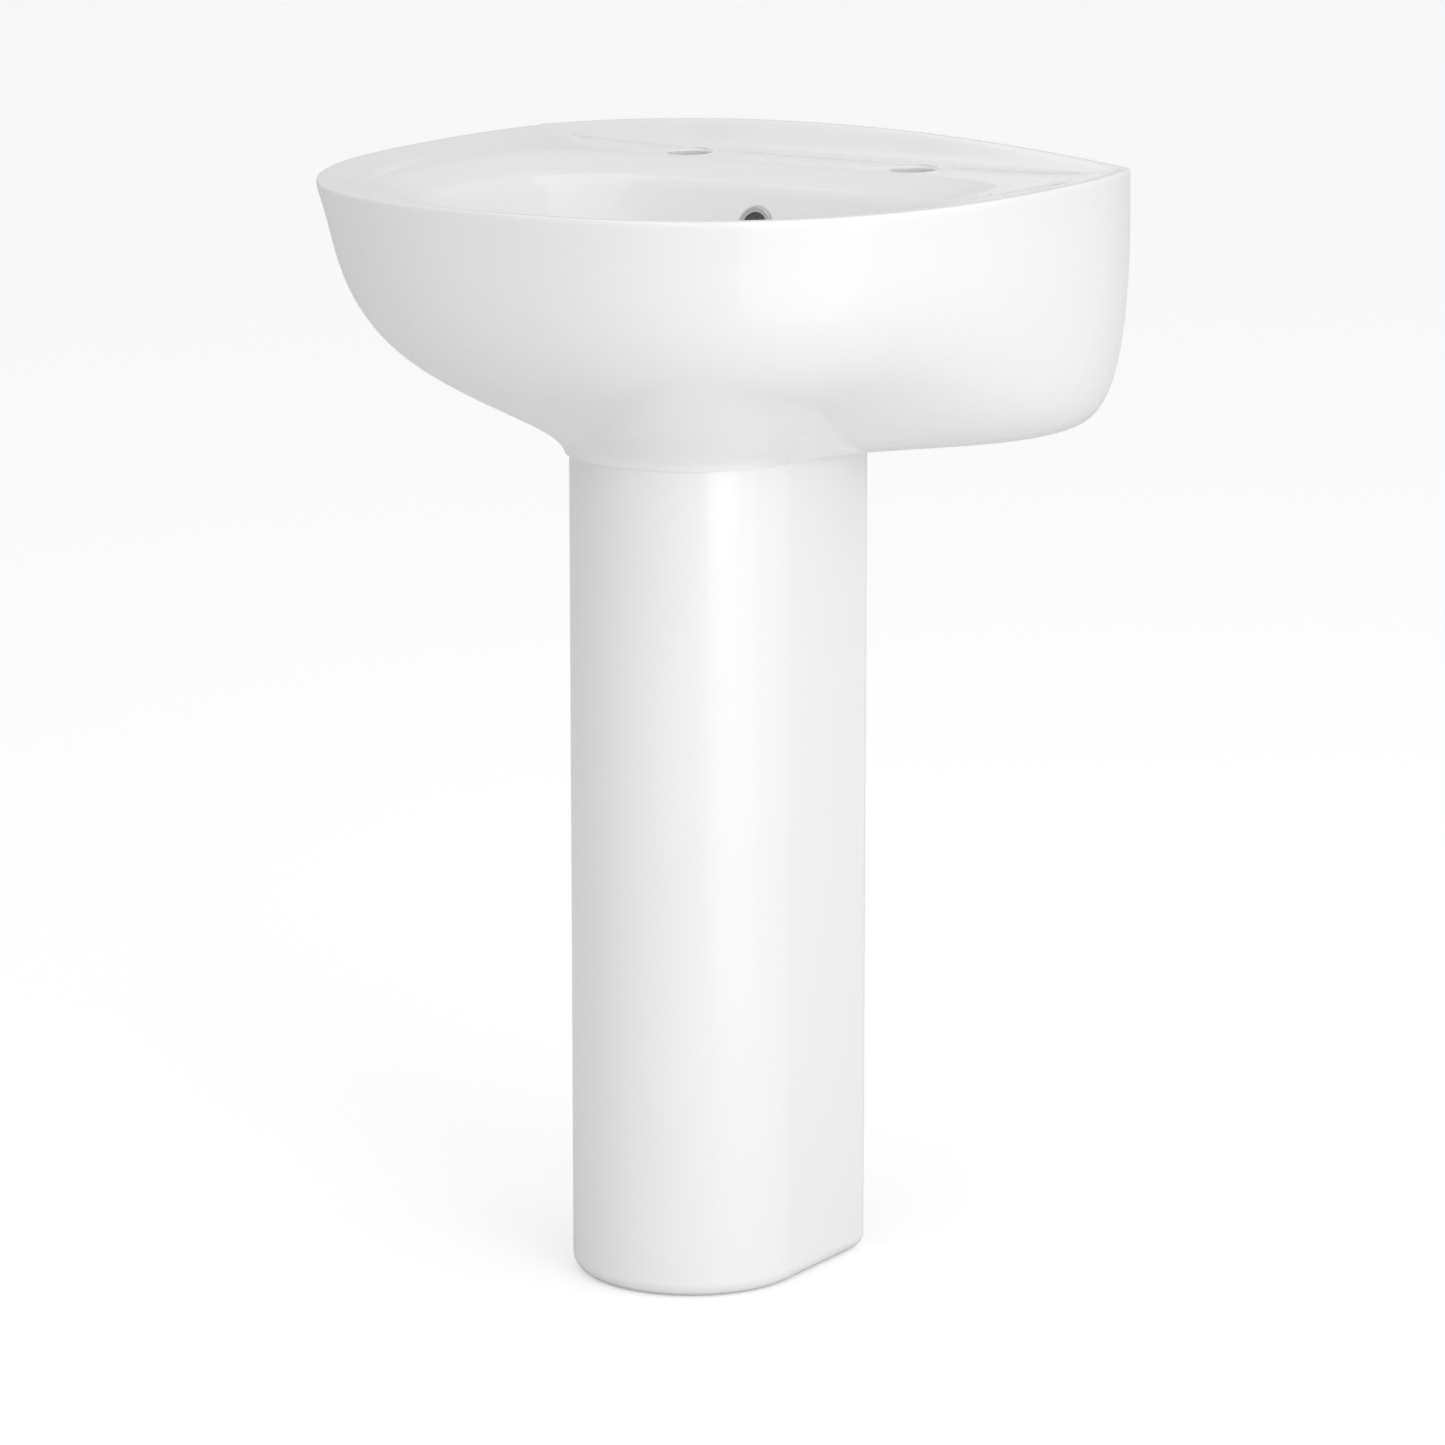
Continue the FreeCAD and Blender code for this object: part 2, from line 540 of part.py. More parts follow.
SLOT_HALF = 5.0             # half the width of an overflow slot in the waste


def waste_body():
    thread = WASTE_THREAD / 2
    bore = WASTE_BORE / 2
    flange = WASTE_FLANGE / 2
    under_flange = FLANGE_TOP - FLANGE
    shape = turned([(bore, TAIL_END), (thread - 1, TAIL_END), (thread, TAIL_END + 1),
                    (thread, under_flange), (flange - 0.6, under_flange), (flange, under_flange + 0.8),
                    (flange - 1.6, FLANGE_TOP), (bore + 5, FLANGE_TOP), (bore + 1, FLANGE_TOP - 3.5),
                    (bore, FLANGE_TOP - 8)])
    for side in (-1, 1):
        near, far = sorted((WASTE_Y, WASTE_Y + side * (thread + 2)))
        shape = shape.cut(block(-SLOT_HALF, SLOT_HALF, near, far, SLOT_LOW, SLOT_HIGH))
    bridge = block(-bore - 1, bore + 1, WASTE_Y - BRIDGE_HALF, WASTE_Y + BRIDGE_HALF,
                   BRIDGE_TOP - BRIDGE_DEPTH, BRIDGE_TOP)
    shape = shape.fuse(bridge).fuse(disc(HOUSING - 0.5, BRIDGE_TOP - BRIDGE_DEPTH - 4, BRIDGE_TOP))
    return shape.cut(disc(HOUSING_TAIL + 0.1, BRIDGE_TOP - 12, BRIDGE_TOP + 2))


def cartridge_housing():
    shape = disc(HOUSING, BRIDGE_TOP, GUIDE_TOP)
    shape = shape.fuse(disc(HOUSING_TAIL, BRIDGE_TOP - 14, BRIDGE_TOP))
    return shape.cut(disc(PLUNGER + RUNNING_GAP, GUIDE_FLOOR, SEAT + 5))


def cartridge_spring():
    wire = 0.35
    coil = 3.3
    end_gap = 0.05
    height = PLUNGER_END - GUIDE_FLOOR - 2 * (wire + end_gap)
    helix = Part.makeHelix(height / 3.5, height, coil)
    start = Part.Wire(Part.makeCircle(wire, Vector(coil, 0, 0), Vector(0, 1, 0)))
    spring = Part.Wire(helix).makePipeShell([start], True, True)
    spring.translate(Vector(0, WASTE_Y, GUIDE_FLOOR + wire + end_gap))
    return spring


def plug_stem():
    shape = disc(PLUNGER, PLUNGER_END, CAP_BASE - STEM_FLANGE)
    shape = shape.fuse(disc(HOUSING, CAP_BASE - STEM_FLANGE, CAP_BASE))
    return shape.fuse(disc(STEM_PIN, CAP_BASE, CAP_BASE + 2.6))


def plug_cap():
    radius = WASTE_FLANGE / 2 - 1.5
    middle = Vector(0, WASTE_Y, CAP_BASE)
    crown = Vector(0, WASTE_Y, CAP_BASE + CAP_RISE)
    brink = Vector(radius - 0.8, WASTE_Y, CAP_BASE + 2.0)
    corner = Vector(radius - 0.8, WASTE_Y, CAP_BASE)
    curve = Part.Arc(crown, Vector(radius * 0.55, WASTE_Y, crown.z - 1.05), brink).toShape()
    edge = Part.Arc(brink, Vector(radius, WASTE_Y, CAP_BASE + 1.0), corner).toShape()
    base = Part.makeLine(corner, middle)
    axis = Part.makeLine(middle, crown)
    half_section = Part.Face(Part.Wire([curve, edge, base, axis]))
    shape = half_section.revolve(middle, Vector(0, 0, 1), 360)
    return shape.cut(disc(STEM_PIN + RUNNING_GAP, CAP_BASE - 1, CAP_BASE + 2.8))


# ---- the trap -----------------------------------------------------------------------------
DIP_TUBE = 16.0             # outside radius
TUBE_FLANGE_TOP = TAIL_END - 1.5
NECK_TOP = TRAP_OUTLET_HEIGHT + 45
BODY_TOP = NECK_TOP - 18
BODY_END = TRAP_OUTLET_HEIGHT - 40
TRAP_RADIUS = TRAP_BODY / 2
TRAP_WALL = 3.0
NECK_THREAD = 21.0
OUTLET_THREAD = PIPE / 2 + 4.0
INLET_NUT = WASTE_THREAD / 2 + 5.05
TOP_NUT = NECK_THREAD + 5.0
OUTLET_NUT = OUTLET_THREAD + 5.0
TUBE_FLANGE = WASTE_THREAD / 2 - 0.45   # radius of the dip tube's flange and its washer
TUBE_FLANGE_THICK = 2.5
SPIGOT_END = WASTE_Y + 66
OUTLET_BORE = PIPE / 2 + PIPE_GAP
RIBS = 16


def ribbed(shape, radius, low, high, y=WASTE_Y):
    """Finger grips around a nut or collar."""
    reach = radius + 0.5
    for k in range(RIBS):
        angle = 2 * math.pi * k / RIBS
        shape = shape.cut(disc(1.6, low, high, reach * math.cos(angle), y + reach * math.sin(angle)))
    return shape


def trap_inlet_nut():
    thread = WASTE_THREAD / 2 + PART_GAP
    low = TUBE_FLANGE_TOP - 6.5
    shape = disc(INLET_NUT, low, TAIL_END + 13)
    shape = shape.cut(disc(thread, TUBE_FLANGE_TOP - TUBE_FLANGE_THICK, TAIL_END + 20))
    shape = shape.cut(disc(DIP_TUBE + PART_GAP, low - 5, TAIL_END))
    return ribbed(shape, INLET_NUT, low - 1, TAIL_END + 20)


def trap_dip_tube():
    shape = tube(DIP_TUBE, DIP_TUBE - 1.8, BODY_END - 35, TUBE_FLANGE_TOP)
    return shape.fuse(tube(TUBE_FLANGE, DIP_TUBE - 1.8, TUBE_FLANGE_TOP - TUBE_FLANGE_THICK, TUBE_FLANGE_TOP))


def trap_top_nut():
    shape = disc(TOP_NUT, BODY_TOP + 6, NECK_TOP + 10)
    shape = shape.cut(disc(NECK_THREAD + PART_GAP, BODY_TOP, NECK_TOP + 5))
    shape = shape.cut(disc(DIP_TUBE + PART_GAP, BODY_TOP, NECK_TOP + 20))
    return ribbed(shape, TOP_NUT, BODY_TOP, NECK_TOP + 20)


def trap_top_seal():
    return turned([(DIP_TUBE, NECK_TOP), (NECK_THREAD - 0.5, NECK_TOP), (NECK_THREAD - 0.5, NECK_TOP + 3),
                   (DIP_TUBE + 1.5, NECK_TOP + 5), (DIP_TUBE, NECK_TOP + 5)])


def along_y(shape):
    """Turns a shape made about +Z to run along +Y at the trap's outlet, with z = 0 on the trap's axis."""
    placed = shape.copy()
    placed.rotate(Vector(0, 0, 0), Vector(1, 0, 0), -90)
    placed.translate(Vector(0, WASTE_Y, TRAP_OUTLET_HEIGHT))
    return placed


def trap_body():
    shape = disc(TRAP_RADIUS, BODY_END, BODY_TOP).fuse(disc(NECK_THREAD, BODY_TOP - 1, NECK_TOP))
    spigot = disc(OUTLET_THREAD, 0, SPIGOT_END - WASTE_Y, 0, 0)
    shape = shape.fuse(along_y(spigot))
    shape = shape.cut(disc(TRAP_RADIUS - TRAP_WALL, BODY_END - 5, BODY_TOP - 5))
    shape = shape.cut(disc(DIP_TUBE + PART_GAP, BODY_END, NECK_TOP + 5))
    shape = shape.cut(along_y(disc(PIPE / 2 - 2, 5, 60, 0, 0)))
    return shape.cut(along_y(disc(OUTLET_BORE, TRAP_RADIUS - 1, SPIGOT_END - WASTE_Y + 5, 0, 0)))


def trap_cup():
    seat = BODY_END - 1.5
    low = BODY_END - 66
    shape = disc(TRAP_RADIUS, low, seat).fuse(disc(TRAP_RADIUS + 3.5, seat - 4, BODY_END + 14))
    shape = shape.cut(disc(TRAP_RADIUS + PART_GAP, seat, BODY_END + 20))
    shape = shape.cut(disc(TRAP_RADIUS - TRAP_WALL, low + TRAP_WALL, seat + 5))
    bottom = [e for e in shape.Edges if e.BoundBox.ZMax < low + 0.001]
    return ribbed(shape.makeFillet(8, bottom), TRAP_RADIUS + 3.5, seat - 5, BODY_END + 20)


def trap_outlet_nut():
    reach = SPIGOT_END - WASTE_Y
    shape = disc(OUTLET_NUT, reach - 12, reach + 11, 0, 0)
    shape = shape.cut(disc(OUTLET_THREAD + PART_GAP, reach - 20, reach + 6.5, 0, 0))
    shape = shape.cut(disc(OUTLET_BORE + 0.2, reach - 20, reach + 20, 0, 0))
    return along_y(ribbed(shape, OUTLET_NUT, reach - 20, reach + 20, 0))


def trap_outlet_seal():
    reach = SPIGOT_END - WASTE_Y
    profile = [(OUTLET_BORE, reach), (OUTLET_THREAD - 0.4, reach), (OUTLET_THREAD - 0.4, reach + 3.4),
               (OUTLET_BORE + 1.4, reach + 5), (OUTLET_BORE, reach + 5)]
    return along_y(turned(profile, 0, 0))


def trap_outlet_slip_ring():
    reach = SPIGOT_END - WASTE_Y
    return along_y(tube(OUTLET_THREAD - 0.4, OUTLET_BORE + 0.1, reach + 5, reach + 6.5, 0, 0))


def main():
    os.makedirs("parts", exist_ok=True)
    bowl = bowl_solid(0.0)
    thread = WASTE_THREAD / 2
    nut_top = BOSS_BOTTOM - WASHER - SLIP_WASHER
    save(basin(bowl), "basin")
    save(pedestal(), "pedestal")
    save(overflow_ring(bowl), "overflow_ring")
    save(waste_body(), "waste_body")
    save(tube(WASTE_FLANGE / 2 - 1.5, thread + PART_GAP, SEAT, SEAT + FLANGE_SEAL), "waste_flange_seal")
    save(tube(WASHER_RADIUS, thread + PART_GAP, BOSS_BOTTOM - WASHER, BOSS_BOTTOM), "waste_rubber_washer")
    save(tube(WASHER_RADIUS - 1, thread + PART_GAP, nut_top, nut_top + SLIP_WASHER), "waste_friction_washer")
    nut = hexagon(BACKNUT_FLATS, nut_top - BACKNUT, nut_top)
    save(nut.cut(disc(thread + PART_GAP, nut_top - BACKNUT - 1, nut_top + 1)), "waste_backnut")
    save(cartridge_housing(), "cartridge_housing")
    save(cartridge_spring(), "cartridge_spring")
    save(plug_stem(), "plug_stem")
    save(plug_cap(), "plug_cap")
    save(tube(WASTE_FLANGE / 2 - 4, WASTE_FLANGE / 2 - 9, FLANGE_TOP, CAP_BASE), "plug_seal")
    save(trap_inlet_nut(), "trap_inlet_nut")
    save(tube(TUBE_FLANGE, WASTE_BORE / 2 + 0.2, TUBE_FLANGE_TOP, TAIL_END), "trap_inlet_washer")
    save(trap_dip_tube(), "trap_dip_tube")
    save(trap_top_nut(), "trap_top_nut")
    save(trap_top_seal(), "trap_top_seal")
    save(trap_body(), "trap_body")
    save(tube(TRAP_RADIUS, TRAP_RADIUS - TRAP_WALL, BODY_END - 1.5, BODY_END), "trap_cup_seal")
    save(trap_cup(), "trap_cup")
    save(trap_outlet_nut(), "trap_outlet_nut")
    save(trap_outlet_seal(), "trap_outlet_seal")
    save(trap_outlet_slip_ring(), "trap_outlet_slip_ring")


main()
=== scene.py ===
import json
import math

import bmesh
import bpy
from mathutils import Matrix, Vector


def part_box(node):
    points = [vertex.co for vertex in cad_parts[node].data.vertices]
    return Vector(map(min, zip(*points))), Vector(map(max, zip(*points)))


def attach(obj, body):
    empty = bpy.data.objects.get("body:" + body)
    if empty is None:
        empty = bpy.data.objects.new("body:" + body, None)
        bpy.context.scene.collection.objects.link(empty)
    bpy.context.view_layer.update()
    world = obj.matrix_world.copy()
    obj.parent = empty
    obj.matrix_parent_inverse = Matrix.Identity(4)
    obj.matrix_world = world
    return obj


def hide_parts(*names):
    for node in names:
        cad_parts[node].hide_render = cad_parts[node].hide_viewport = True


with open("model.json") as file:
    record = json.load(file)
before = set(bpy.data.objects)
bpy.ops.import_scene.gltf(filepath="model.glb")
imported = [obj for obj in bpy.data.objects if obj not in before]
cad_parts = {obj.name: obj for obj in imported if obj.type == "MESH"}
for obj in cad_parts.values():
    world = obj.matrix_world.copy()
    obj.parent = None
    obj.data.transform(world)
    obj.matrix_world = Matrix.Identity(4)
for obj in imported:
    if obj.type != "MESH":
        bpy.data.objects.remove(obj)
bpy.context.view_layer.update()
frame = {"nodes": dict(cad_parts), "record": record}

MM = 0.001
WALL_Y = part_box("basin")[1].y
WIPED_BACK = 0.6 * MM       # the glaze is wiped off this far in from the wall
WIPED_FOOT = 1.2 * MM       # and this far up from the floor
JOIN_WITHIN = 0.004 * MM    # corners of loose triangles nearer than this are one
SLIVER = 0.002 * MM         # edges shorter than this are closed up
SHARP_ON_SHELL = 28.0       # degrees between faces, past which an edge stays sharp
SHARP_ON_TURNED = 35.0
FLAT_WITHIN = 0.3           # degrees between triangles that are one flat face
EASED_PAST = 32.0           # degrees between faces, past which an edge is rounded over
EASED_STEPS = 3
EDGE_RADIUS = {"china": 2.2 * MM, "chrome": 0.25 * MM, "brass": 0.4 * MM, "black_rubber": 0.3 * MM,
               "grey_foam": 0.2 * MM, "slip_plastic": 0.15 * MM, "white_plastic": 0.6 * MM}
AROUND = 120                # faces around a turned piece
DOME_STEPS = 24             # points along the outlines of the turned pieces
ROLL_STEPS = 12
CORNER_STEPS = 8
CAP_ROLL = 1.0 * MM         # radius of the plug cap's edge
PIN_HOLE = 3.05 * MM        # radius of the hollow under the cap
PIN_DEPTH = 2.8 * MM
SEAL_WIDTH = 5.0 * MM
SEAL_ROUNDING = 0.7 * MM
FLOOR_SIZE = 30.0
FLOOR_GLOW = 0.36           # the floor is seen this much whiter than it is lit


# ---- finishes ---------------------------------------------------------------------------
class Number:
    """A shader socket that Python's own operators work on."""

    def __init__(self, shading, socket):
        self.shading = shading
        self.socket = socket

    def maths(self, operation, first, second):
        made = self.shading.node("ShaderNodeMath", {"operation": operation}, {0: first, 1: second})
        return Number(self.shading, made.outputs[0])

    def __add__(self, other):
        return self.maths("ADD", self, other)

    def __radd__(self, other):
        return self.maths("ADD", other, self)

    def __sub__(self, other):
        return self.maths("SUBTRACT", self, other)

    def __rsub__(self, other):
        return self.maths("SUBTRACT", other, self)

    def __mul__(self, other):
        return self.maths("MULTIPLY", self, other)

    def __rmul__(self, other):
        return self.maths("MULTIPLY", other, self)

    def above(self, level, soft):
        """0 below the level and 1 above it, over a soft width."""
        settings = {"interpolation_type": "SMOOTHSTEP"}
        sockets = {"Value": self, "From Min": level - soft, "From Max": level + soft}
        made = self.shading.node("ShaderNodeMapRange", settings, sockets)
        return Number(self.shading, made.outputs["Result"])

    def either(self, other):
        return self.maths("MAXIMUM", self, other)


class Shading:
    """The shader nodes of a material or of the room."""

    def __init__(self, tree):
        self.tree = tree

    def node(self, kind, settings, sockets):
        """Adds a node, gives it its settings, then the values or links of its sockets."""
        made = self.tree.nodes.new(kind)
        for key, value in settings.items():
            setattr(made, key, value)
        for key, value in sockets.items():
            self.feed(made.inputs[key], value)
        return made

    def feed(self, socket, value):
        source = value.socket if isinstance(value, Number) else value
        if isinstance(source, bpy.types.NodeSocket):
            self.tree.links.new(source, socket)
        else:
            socket.default_value = source


class Finish(Shading):
    """One material: its shader, and the place on the object that its pattern is read from."""

    def __init__(self, name, metallic=0.0):
        self.material = bpy.data.materials.new(name)
        self.material.use_nodes = True
        super().__init__(self.material.node_tree)
        self.shader = self.tree.nodes["Principled BSDF"]
        self.set("Metallic", metallic)
        self.place = self.node("ShaderNodeTexCoord", {}, {}).outputs["Object"]
        split = self.node("ShaderNodeSeparateXYZ", {}, {"Vector": self.place})
        self.y = Number(self, split.outputs["Y"])
        self.z = Number(self, split.outputs["Z"])

    def noise(self, scale, detail=3.0, roughness=0.5):
        sockets = {"Vector": self.place, "Scale": scale, "Detail": detail, "Roughness": roughness}
        return Number(self, self.node("ShaderNodeTexNoise", {}, sockets).outputs[0])

    def stretched_noise(self, scale, stretch):
        """Noise drawn out along an axis, as brushing and turning leave it."""
        mapped = self.node("ShaderNodeMapping", {}, {"Vector": self.place, "Scale": stretch})
        sockets = {"Vector": mapped.outputs[0], "Scale": scale, "Detail": 4.0}
        return Number(self, self.node("ShaderNodeTexNoise", {}, sockets).outputs[0])

    def cells(self, scale):
        """Distance to the nearest of many scattered points, in cell widths."""
        made = self.node("ShaderNodeTexVoronoi", {"feature": "F1"}, {"Vector": self.place, "Scale": scale})
        return Number(self, made.outputs["Distance"])

    def mix(self, share, first, second):
        """A colour part way from the first to the second."""
        made = self.node("ShaderNodeMix", {"data_type": "RGBA"}, {0: share, 6: first, 7: second})
        return made.outputs[2]

    def bump(self, height, depth):
        sockets = {"Strength": 1.0, "Distance": depth, "Height": height}
        self.set("Normal", self.node("ShaderNodeBump", {}, sockets).outputs[0])

    def set(self, socket, value):
        self.feed(self.shader.inputs[socket], value)


def grey(level, warmth=0.0):
    return (level + warmth, level, level - warmth, 1.0)


def china():
    """White glaze, pooled a little unevenly, over a bisque that shows where the glaze was wiped off."""
    finish = Finish("china")
    bare_wall = finish.y.above(WALL_Y - WIPED_BACK, WIPED_BACK / 2)
    bare_foot = 1.0 - finish.z.above(WIPED_FOOT, 0.5 * MM)
    bare = bare_wall.either(bare_foot)
    clouds = finish.noise(5.0, 2.0)
    pores = 1.0 - finish.cells(140.0).above(0.045, 0.012)
    grain = finish.noise(900.0, 4.0, 0.7)
    glaze = finish.mix(clouds, grey(0.86, 0.002), grey(0.885, -0.001))
    glaze = finish.mix(pores * 0.10, glaze, grey(0.55, 0.03))
    bisque = finish.mix(grain, grey(0.70, 0.035), grey(0.80, 0.03))
    finish.set("Base Color", finish.mix(bare, glaze, bisque))
    finish.set("Roughness", 0.16 + 0.05 * clouds + 0.62 * bare)
    finish.set("Coat Weight", 1.0 - bare)
    finish.set("Coat Roughness", 0.035)
    ripple = finish.noise(22.0, 1.5)
    finish.bump(ripple + 0.02 * grain + 0.4 * bare * grain, 0.22 * MM)
    return finish.material


def chrome():
    """Bright plating with the fine haze of wiping."""
    finish = Finish("chrome", metallic=1.0)
    haze = finish.noise(60.0, 4.0)
    wipes = finish.stretched_noise(180.0, (1.0, 1.0, 8.0))
    finish.set("Base Color", finish.mix(haze, grey(0.50, -0.004), grey(0.60, -0.003)))
    finish.set("Roughness", 0.05 + 0.07 * haze + 0.03 * wipes)
    finish.bump(wipes, 0.01 * MM)
    return finish.material


def brass():
    finish = Finish("brass", metallic=1.0)
    tarnish = finish.noise(90.0, 5.0, 0.65)
    turning = finish.stretched_noise(70.0, (1.0, 1.0, 40.0))
    finish.set("Base Color", finish.mix(tarnish, (0.78, 0.58, 0.27, 1.0), (0.62, 0.43, 0.20, 1.0)))
    finish.set("Roughness", 0.22 + 0.18 * tarnish + 0.1 * turning)
    finish.bump(turning, 0.05 * MM)
    return finish.material


def moulded(name, light, dark, roughness, grain_depth):
    """Moulded plastic or rubber: a fine grain, and colour that shifts a little over the piece."""
    finish = Finish(name)
    grain = finish.noise(1400.0, 3.0, 0.6)
    patches = finish.noise(35.0, 3.0)
    finish.set("Base Color", finish.mix(patches, light, dark))
    finish.set("Roughness", roughness + 0.1 * grain + 0.06 * patches)
    finish.bump(grain + 0.5 * patches, grain_depth)
    return finish.material


def spring_steel():
    finish = Finish("spring_steel", metallic=1.0)
    drawn = finish.stretched_noise(500.0, (1.0, 1.0, 6.0))
    finish.set("Base Color", finish.mix(drawn, grey(0.52), grey(0.64)))
    finish.set("Roughness", 0.25 + 0.15 * drawn)
    finish.bump(drawn, 0.01 * MM)
    return finish.material


FINISHES = {
    "china": china(),
    "chrome": chrome(),
    "brass": brass(),
    "black_rubber": moulded("black_rubber", grey(0.035), grey(0.022), 0.5, 0.03 * MM),
    "grey_foam": moulded("grey_foam", grey(0.16), grey(0.11), 0.8, 0.15 * MM),
    "slip_plastic": moulded("slip_plastic", grey(0.74, 0.02), grey(0.68, 0.02), 0.35, 0.01 * MM),
    "white_plastic": moulded("white_plastic", grey(0.80, 0.004), grey(0.76, 0.008), 0.22, 0.012 * MM),
    "spring_steel": spring_steel(),
}
SLOT_OF = {part["node"]: part["material_slot"] for part in frame["record"]["subparts"]}
BODY_OF = {node: body for body, nodes in frame["record"]["behaviour"]["bodies"].items() for node in nodes}


# ---- pieces -----------------------------------------------------------------------------
def new_object(name, mesh):
    """An object that holds a finished bmesh, which is used up."""
    data = bpy.data.meshes.new(name)
    mesh.to_mesh(data)
    mesh.free()
    made = bpy.data.objects.new(name, data)
    bpy.context.scene.collection.objects.link(made)
    return made


def smooth(mesh, sharp_degrees):
    """Smooth shading, with edges left sharp where faces meet at more than the angle."""
    sharp = math.radians(sharp_degrees)
    for edge in mesh.edges:
        edge.smooth = edge.is_manifold and edge.calc_face_angle(0.0) < sharp
    for face in mesh.faces:
        face.smooth = True


def stand_for(piece, node):
    """Gives a finished piece its node's body, slot and finish."""
    piece.data.materials.clear()
    piece.data.materials.append(FINISHES[SLOT_OF[node]])
    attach(piece, BODY_OF[node])
    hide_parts(node)


def joined_mesh(node):
    """A copy of a node's mesh with its loose triangles joined, so that light runs smoothly over it."""
    mesh = bmesh.new()
    mesh.from_mesh(frame["nodes"][node].data)
    bmesh.ops.remove_doubles(mesh, verts=mesh.verts, dist=JOIN_WITHIN)
    bmesh.ops.dissolve_degenerate(mesh, edges=mesh.edges, dist=SLIVER)
    return mesh


def finished_piece(node, mesh):
    piece = new_object(node + "_finished", mesh)
    stand_for(piece, node)
    return piece


def as_shaped(node):
    """A piece whose edges were already rounded when it was cast, pressed or wound."""
    mesh = joined_mesh(node)
    smooth(mesh, SHARP_ON_SHELL)
    piece = finished_piece(node, mesh)
    broad_faces_lead = piece.modifiers.new("broad_faces_lead", "WEIGHTED_NORMAL")
    broad_faces_lead.keep_sharp = True


def eased(node, radius):
    """A piece whose flat faces are made whole again and whose edges are rounded over."""
    mesh = joined_mesh(node)
    flat = math.radians(FLAT_WITHIN)
    bmesh.ops.dissolve_limit(mesh, angle_limit=flat, verts=mesh.verts, edges=mesh.edges)
    for face in mesh.faces:
        face.smooth = True
    piece = finished_piece(node, mesh)
    edge = piece.modifiers.new("eased_edges", "BEVEL")
    edge.width = radius
    edge.segments = EASED_STEPS
    edge.limit_method = "ANGLE"
    edge.angle_limit = math.radians(EASED_PAST)
    edge.harden_normals = True


def arc(centre, radius, start, end, steps):
    """(across, up) points on part of a circle, from one angle to another."""
    turns = [math.radians(start + (end - start) * k / steps) for k in range(steps + 1)]
    return [(centre[0] + radius * math.cos(turn), centre[1] + radius * math.sin(turn)) for turn in turns]


def spun(node, outline, closed):
    """A new piece: an outline of (radius, height) points turned about its node's upright middle line."""
    low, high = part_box(node)
    middle = Vector(((low.x + high.x) / 2, (low.y + high.y) / 2, 0.0))
    mesh = bmesh.new()
    points = [mesh.verts.new(middle + Vector((across, 0.0, up))) for across, up in outline]
    edges = [mesh.edges.new(pair) for pair in zip(points, points[1:])]
    if closed:
        edges.append(mesh.edges.new((points[-1], points[0])))
    bmesh.ops.spin(mesh, geom=points + edges, cent=middle, axis=(0.0, 0.0, 1.0), angle=math.tau,
                   steps=AROUND, use_merge=True)
    bmesh.ops.remove_doubles(mesh, verts=mesh.verts, dist=SLIVER)
    bmesh.ops.recalc_face_normals(mesh, faces=mesh.faces)
    smooth(mesh, SHARP_ON_TURNED)
    finished_piece(node, mesh)


def plug_cap():
    """A shallow dome with a rolled edge, hollow in the middle for the stem's pin."""
    low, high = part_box("plug_cap")
    brink = (high.x - low.x) / 2 - CAP_ROLL
    fall = high.z - low.z - 2 * CAP_ROLL
    dome = (brink ** 2 + fall ** 2) / (2 * fall)
    spread = math.degrees(math.asin(brink / dome))
    pin_top = low.z + PIN_DEPTH
    outline = arc((0.0, high.z - dome), dome, 90.0, 90.0 - spread, DOME_STEPS)
    outline += arc((brink, low.z + CAP_ROLL), CAP_ROLL, 90.0 - spread, -90.0, ROLL_STEPS)
    outline += [(PIN_HOLE, low.z), (PIN_HOLE, pin_top), (0.0, pin_top)]
    spun("plug_cap", outline, closed=False)


def plug_seal():
    """A rubber ring whose four corners are rounded over."""
    low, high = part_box("plug_seal")
    outer = (high.x - low.x) / 2
    inner = outer - SEAL_WIDTH
    r = SEAL_ROUNDING
    corners = [(outer - r, high.z - r, 90.0), (outer - r, low.z + r, 0.0),
               (inner + r, low.z + r, -90.0), (inner + r, high.z - r, 180.0)]
    outline = []
    for across, up, start in corners:
        outline += arc((across, up), r, start, start - 90.0, CORNER_STEPS)
    spun("plug_seal", outline, closed=True)


NEW_PIECES = {"plug_cap": plug_cap, "plug_seal": plug_seal}
AS_SHAPED = ("basin", "cartridge_spring", "overflow_ring")
for node in frame["nodes"]:
    if node in NEW_PIECES:
        NEW_PIECES[node]()
    elif node in AS_SHAPED:
        as_shaped(node)
    else:
        eased(node, EDGE_RADIUS[SLOT_OF[node]])


# ---- the room ---------------------------------------------------------------------------
def floor():
    """A matt white floor, which looks whiter than it is so that it meets the room without a line."""
    mesh = bmesh.new()
    bmesh.ops.create_grid(mesh, x_segments=1, y_segments=1, size=FLOOR_SIZE / 2)
    piece = new_object("floor", mesh)
    finish = Finish("floor")
    finish.set("Base Color", grey(0.80))
    finish.set("Roughness", 0.6)
    plain = finish.shader.outputs[0]
    glow = finish.node("ShaderNodeEmission", {}, {"Color": grey(1.0), "Strength": FLOOR_GLOW}).outputs[0]
    glowing = finish.node("ShaderNodeAddShader", {}, {0: plain, 1: glow}).outputs[0]
    seen = finish.node("ShaderNodeLightPath", {}, {}).outputs["Is Camera Ray"]
    both = finish.node("ShaderNodeMixShader", {}, {0: seen, 1: plain, 2: glowing}).outputs[0]
    finish.feed(finish.tree.nodes["Material Output"].inputs["Surface"], both)
    piece.data.materials.append(finish.material)


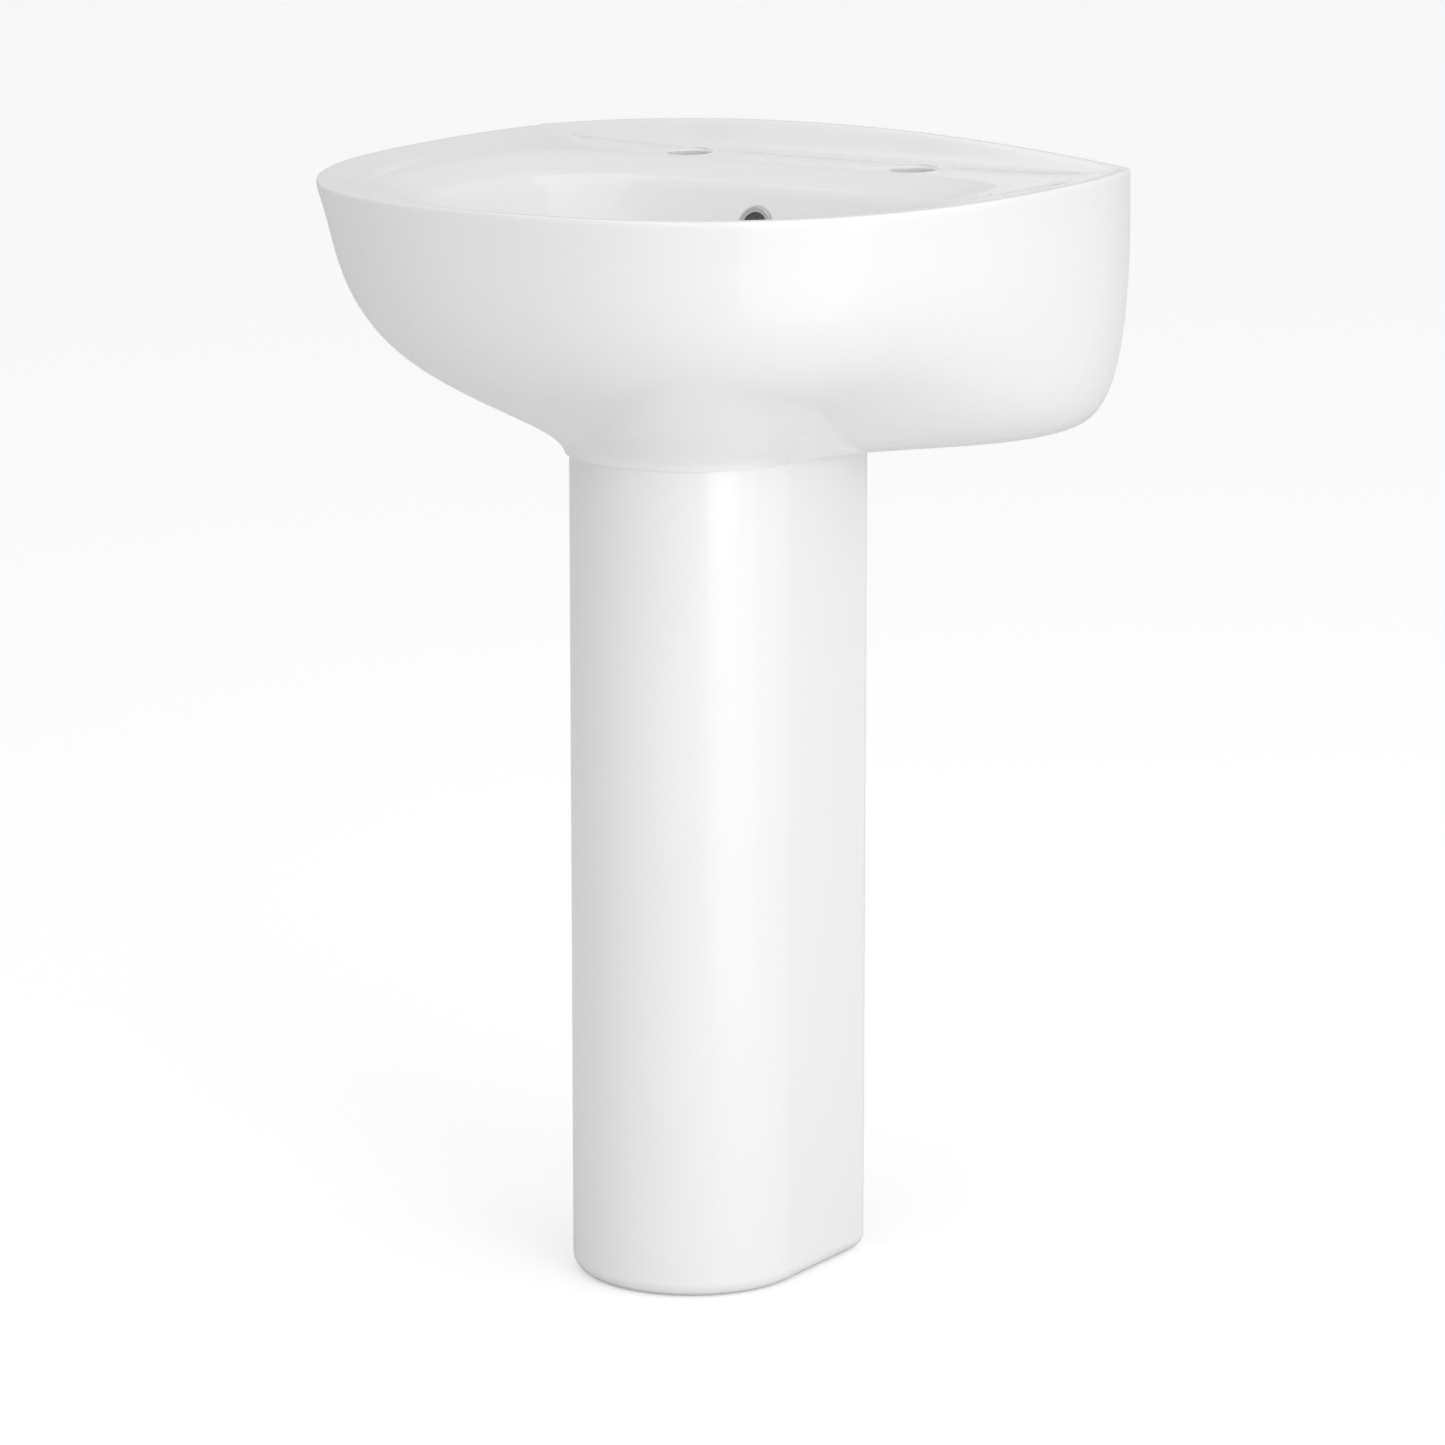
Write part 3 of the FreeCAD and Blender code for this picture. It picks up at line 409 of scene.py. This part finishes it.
def surroundings(seen, lit):
    """A plain white room: as bright as seen behind the object, and as bright as lit on it."""
    world = bpy.data.worlds.new("room")
    world.use_nodes = True
    bpy.context.scene.world = world
    room = Shading(world.node_tree)
    background = room.tree.nodes["Background"].inputs
    to_camera = Number(room, room.node("ShaderNodeLightPath", {}, {}).outputs["Is Camera Ray"])
    room.feed(background["Color"], grey(1.0))
    room.feed(background["Strength"], (seen - lit) * to_camera + lit)


def direction(azimuth, elevation):
    """From the object towards a viewer. Azimuth 0 is in front, and 90 is at its right."""
    a, e = math.radians(azimuth), math.radians(elevation)
    return Vector((math.sin(a) * math.cos(e), -math.cos(a) * math.cos(e), math.sin(e)))


def stand(name, data, aim, back, distance):
    """Stands a lamp or a camera at a distance back from its aim, and turns it to face there."""
    holder = bpy.data.objects.new(name, data)
    bpy.context.scene.collection.objects.link(holder)
    holder.location = aim + back * distance
    holder.rotation_mode = "QUATERNION"
    holder.rotation_quaternion = (-back).to_track_quat("-Z", "Y")
    return holder


def soft_box(name, azimuth, elevation, distance, aim_height, size, power):
    """A rectangular lamp that faces the object's upright middle line at a height."""
    lamp = bpy.data.lights.new(name, "AREA")
    lamp.shape = "RECTANGLE"
    lamp.size, lamp.size_y = size
    lamp.energy = power
    aim = Vector((0.0, 0.0, aim_height))
    stand(name, lamp, aim, direction(azimuth, elevation), distance).visible_camera = False


CAMERA_AZIMUTH = 32.63
CAMERA_ELEVATION = 12.3
CAMERA_DISTANCE = 4.55
CAMERA_LENS = 151.8             # mm, with the sensor's width
SENSOR_WIDTH = 36.0
SEEN_TO = 100.0
VIEW_CENTRE = Vector((0.0, 0.0, 0.43))
AIM_RIGHT = 0.0432
AIM_UP = 0.0012


def camera():
    lens = bpy.data.cameras.new("camera")
    lens.lens = CAMERA_LENS
    lens.sensor_width = SENSOR_WIDTH
    lens.clip_end = SEEN_TO
    back = direction(CAMERA_AZIMUTH, CAMERA_ELEVATION)
    right = direction(CAMERA_AZIMUTH + 90.0, 0.0)
    up = back.cross(right)
    aim = VIEW_CENTRE + right * AIM_RIGHT + up * AIM_UP
    bpy.context.scene.camera = stand("camera", lens, aim, back, CAMERA_DISTANCE)


floor()
surroundings(seen=0.95, lit=0.69)
soft_box("window_right", azimuth=72.0, elevation=0.0, distance=0.85, aim_height=1.0,
         size=(0.70, 2.0), power=1.4)
soft_box("ceiling", azimuth=20.0, elevation=80.0, distance=2.4, aim_height=0.84,
         size=(3.0, 3.0), power=11.0)
soft_box("fill_right", azimuth=62.0, elevation=10.0, distance=6.0, aim_height=0.6,
         size=(3.0, 3.0), power=88.0)
soft_box("fill_front", azimuth=20.0, elevation=15.0, distance=6.0, aim_height=0.6,
         size=(3.0, 3.0), power=10.0)
soft_box("fill_side", azimuth=115.0, elevation=15.0, distance=5.0, aim_height=0.6,
         size=(3.0, 3.0), power=13.0)
camera()
bpy.context.scene.view_settings.view_transform = "Standard"
bpy.context.scene.view_settings.look = "None"
